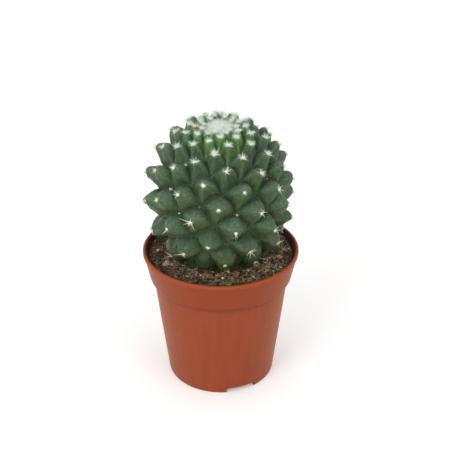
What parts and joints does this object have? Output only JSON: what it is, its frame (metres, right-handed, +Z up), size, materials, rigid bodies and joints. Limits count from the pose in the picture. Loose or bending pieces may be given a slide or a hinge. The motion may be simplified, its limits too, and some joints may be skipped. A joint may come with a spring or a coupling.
{
  "type": "potted mammillaria cactus",
  "caption": "Round warty globe cactus with woolly white areoles, short pale spines and a white woolly crown, growing in gritty soil in a small tapered terracotta-coloured plastic nursery pot.",
  "frame": {"origin": "on the pot's axis, in the plane that the pot's foot ring stands on; the plant leans a few degrees to the front and reaches a little past the rim there", "axes": "+Z up along the pot's axis, -Y to the front as in the picture, +X to the picture's right"},
  "size_m": [0.055, 0.056, 0.099],
  "materials": {
    "pot_plastic": "smooth moulded terracotta-coloured plastic with a low sheen",
    "soil": "dark moist potting soil with pale and tan grit",
    "cactus_skin": "waxy skin with a low sheen, fine pale flecks and woolly areoles with pale spines",
    "wool": "felted white plant wool"
  },
  "bodies": {
    "root": {"pot": "pot_plastic", "soil": "soil", "cactus": "cactus_skin", "crown_wool": "wool"}
  },
  "joints": []
}
